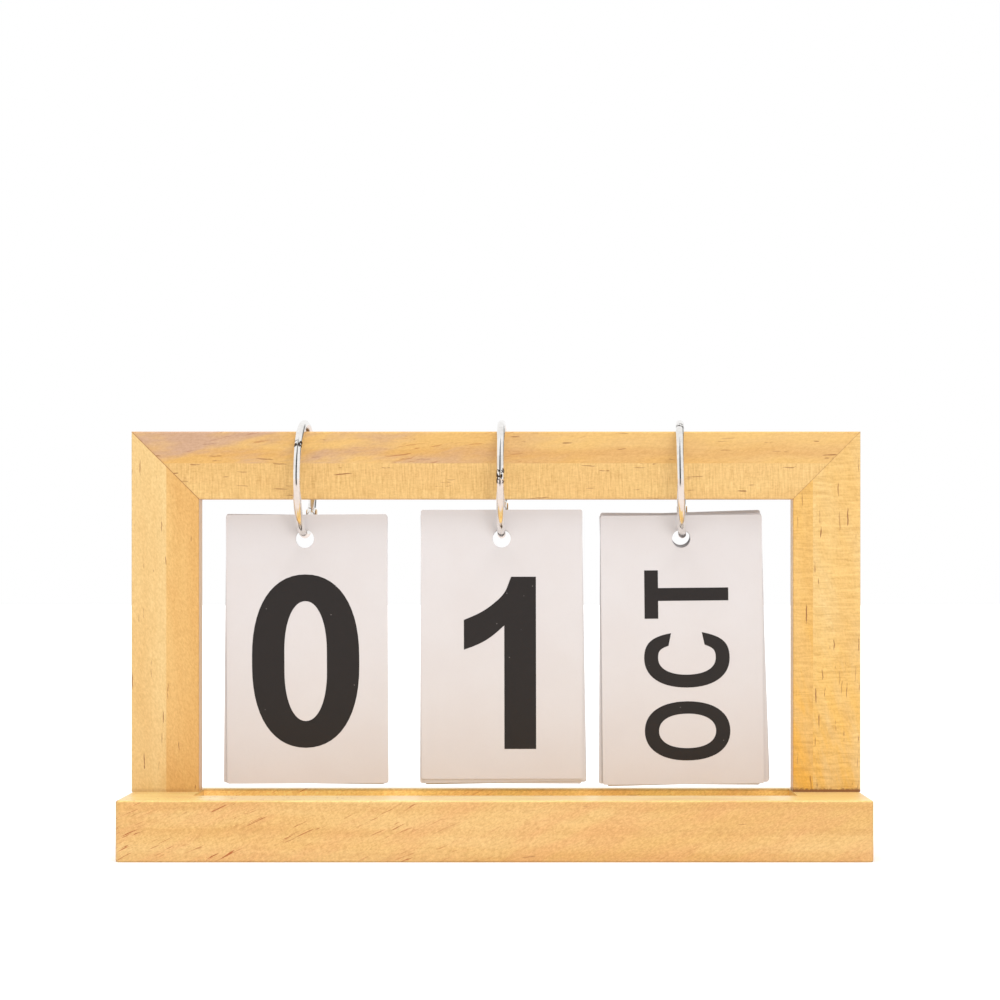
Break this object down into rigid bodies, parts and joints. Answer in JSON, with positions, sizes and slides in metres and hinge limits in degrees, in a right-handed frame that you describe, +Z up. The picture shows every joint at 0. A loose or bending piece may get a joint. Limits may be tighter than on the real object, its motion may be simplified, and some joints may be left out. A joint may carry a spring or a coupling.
{
  "type": "flip desk calendar",
  "caption": "Free-standing pine desk stand whose top rail carries hinged book rings, each with a stack of punched date cards that flip over the rail.",
  "frame": {"origin": "middle of the base board's underside, at the middle of the object's footprint", "axes": "+X to the right along the rail and the base, +Y from the printed fronts to the back, +Z up"},
  "size_m": [0.27, 0.088, 0.16],
  "materials": {
    "pine_base": "clear satin lacquer on honey pine",
    "pine_honey": "clear satin lacquer on honey pine",
    "pine_orange": "clear satin lacquer on darker pine",
    "pine_pink": "clear satin lacquer on pinkish pine",
    "white_card": "uncoated white card stock with black print",
    "nickel_ring": "bright nickel plate on steel wire",
    "brass_rivet": "plain brass",
    "zinc_screw": "zinc plate",
    "steel_nail": "plain steel"
  },
  "bodies": {
    "stand": {"base_board": "pine_base", "base_screws": "zinc_screw", "corner_v_nails": "steel_nail", "left_upright_inner_strip": "pine_orange", "left_upright_outer_strip": "pine_honey", "right_upright_inner_strip": "pine_orange", "right_upright_outer_strip": "pine_honey", "top_rail_lower_strip": "pine_honey", "top_rail_upper_strip": "pine_pink"},
    "tens_pack": {"tens_card_1": "white_card", "tens_card_2": "white_card"},
    "tens_front_card": {"tens_card_0": "white_card"},
    "tens_back_card": {"tens_card_3": "white_card"},
    "tens_ring": {"tens_ring_carrying_half": "nickel_ring", "tens_ring_rivet": "brass_rivet"},
    "tens_ring_gate": {"tens_ring_opening_half": "nickel_ring"},
    "units_pack": {"units_card_2": "white_card", "units_card_3": "white_card", "units_card_4": "white_card", "units_card_5": "white_card", "units_card_6": "white_card", "units_card_7": "white_card", "units_card_8": "white_card", "units_card_9": "white_card"},
    "units_front_card": {"units_card_1": "white_card"},
    "units_back_card": {"units_card_0": "white_card"},
    "units_ring": {"units_ring_carrying_half": "nickel_ring", "units_ring_rivet": "brass_rivet"},
    "units_ring_gate": {"units_ring_opening_half": "nickel_ring"},
    "month_pack": {"month_card_11": "white_card", "month_card_12": "white_card", "month_card_01": "white_card", "month_card_02": "white_card", "month_card_03": "white_card", "month_card_04": "white_card", "month_card_05": "white_card", "month_card_06": "white_card", "month_card_07": "white_card", "month_card_08": "white_card"},
    "month_front_card": {"month_card_10": "white_card"},
    "month_back_card": {"month_card_09": "white_card"},
    "month_ring": {"month_ring_carrying_half": "nickel_ring", "month_ring_rivet": "brass_rivet"},
    "month_ring_gate": {"month_ring_opening_half": "nickel_ring"}
  },
  "joints": [
    {"name": "tens_pack_slide", "type": "slide", "parent": "stand", "child": "tens_pack", "axis": [1, 0, 0], "range_m": [-0.005, 0.006]},
    {"name": "tens_ring_turn", "type": "hinge", "parent": "tens_pack", "child": "tens_ring", "pos_m": [-0.0712, 0.0195, 0.138], "axis": [-0.9959, 0.0906, 0], "range_deg": [-90, 30]},
    {"name": "tens_ring_open", "type": "hinge", "parent": "tens_ring", "child": "tens_ring_gate", "pos_m": [-0.06964, 0.03666, 0.12549], "axis": [0.9959, -0.0906, 0], "range_deg": [-70, 0]},
    {"name": "tens_front_card_flip", "type": "hinge", "parent": "tens_pack", "child": "tens_front_card", "pos_m": [-0.0712, 0.0195, 0.138], "axis": [-0.9959, 0.0906, 0], "range_deg": [0, 112]},
    {"name": "tens_back_card_flip", "type": "hinge", "parent": "tens_pack", "child": "tens_back_card", "pos_m": [-0.0712, 0.0195, 0.138], "axis": [0.9959, -0.0906, 0], "range_deg": [0, 110]},
    {"name": "units_pack_slide", "type": "slide", "parent": "stand", "child": "units_pack", "axis": [1, 0, 0], "range_m": [-0.01, 0.003]},
    {"name": "units_ring_turn", "type": "hinge", "parent": "units_pack", "child": "units_ring", "pos_m": [0.00205, 0.0195, 0.138], "axis": [-0.9998, 0.0175, 0], "range_deg": [-80, 30]},
    {"name": "units_ring_open", "type": "hinge", "parent": "units_ring", "child": "units_ring_gate", "pos_m": [0.00238, 0.0383, 0.12801], "axis": [0.9998, -0.0175, 0], "range_deg": [-70, 0]},
    {"name": "units_front_card_flip", "type": "hinge", "parent": "units_pack", "child": "units_front_card", "pos_m": [0.00205, 0.0195, 0.138], "axis": [-0.9998, 0.0175, 0], "range_deg": [0, 115]},
    {"name": "units_back_card_flip", "type": "hinge", "parent": "units_pack", "child": "units_back_card", "pos_m": [0.00205, 0.0195, 0.138], "axis": [0.9998, -0.0175, 0], "range_deg": [0, 112]},
    {"name": "month_pack_slide", "type": "slide", "parent": "stand", "child": "month_pack", "axis": [1, 0, 0], "range_m": [-0.003, 0.006]},
    {"name": "month_ring_turn", "type": "hinge", "parent": "month_pack", "child": "month_ring", "pos_m": [0.0688, 0.0195, 0.138], "axis": [-0.9988, 0.0454, -0.0209], "range_deg": [-80, 20]},
    {"name": "month_ring_open", "type": "hinge", "parent": "month_ring", "child": "month_ring_gate", "pos_m": [0.06986, 0.03755, 0.12674], "axis": [0.9988, -0.0454, 0.0209], "range_deg": [-70, 0]},
    {"name": "month_front_card_flip", "type": "hinge", "parent": "month_pack", "child": "month_front_card", "pos_m": [0.0688, 0.0195, 0.138], "axis": [-0.9988, 0.0454, -0.0209], "range_deg": [0, 115]},
    {"name": "month_back_card_flip", "type": "hinge", "parent": "month_pack", "child": "month_back_card", "pos_m": [0.0688, 0.0195, 0.138], "axis": [0.9988, -0.0454, 0.0209], "range_deg": [0, 108]}
  ]
}
